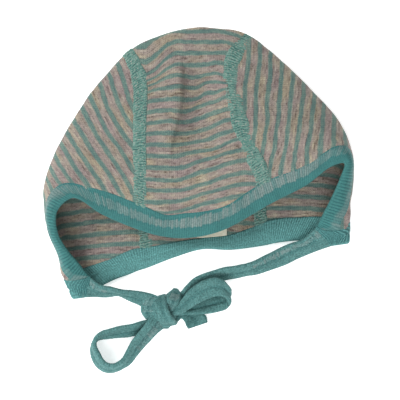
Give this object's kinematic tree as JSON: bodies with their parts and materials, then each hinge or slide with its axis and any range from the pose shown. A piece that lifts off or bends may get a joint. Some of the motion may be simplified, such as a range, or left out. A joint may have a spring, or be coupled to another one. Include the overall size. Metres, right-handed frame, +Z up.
{
  "type": "baby bonnet",
  "caption": "Striped silk-and-wool knit baby bonnet with ribbed bindings and seam tapes, laid flat with its ties done up in a bow.",
  "frame": {"origin": "on the flat underside that the bonnet lies on, near the middle of the bonnet", "axes": "+Z up from the floor through the laid-flat bonnet; +Y from the bow towards the crown; +X towards the right cheek as seen from above"},
  "size_m": [0.1876, 0.2084, 0.027],
  "materials": {
    "striped_jersey": "fine wool and silk jersey, teal stripes on heathered beige and pink",
    "seam_tape": "fine ribbed knit tape, teal",
    "ribbed_binding": "fine ribbed knit folded double, teal, matt",
    "ribbed_tie": "fine ribbed knit folded double, greyed teal, matt",
    "label_tape": "plain cream woven tape"
  },
  "bodies": {
    "root": {"crown_panel": "striped_jersey", "side_panel_left": "striped_jersey", "side_panel_right": "striped_jersey", "seam_tape_left": "seam_tape", "seam_tape_right": "seam_tape", "face_binding": "ribbed_binding", "nape_binding": "ribbed_binding", "nape_label": "label_tape", "tie_left": "ribbed_tie", "tie_right": "ribbed_tie", "bow_knot": "ribbed_tie", "bow_loop_left": "ribbed_tie", "bow_loop_right": "ribbed_tie", "bow_tail": "ribbed_tie"}
  },
  "joints": []
}
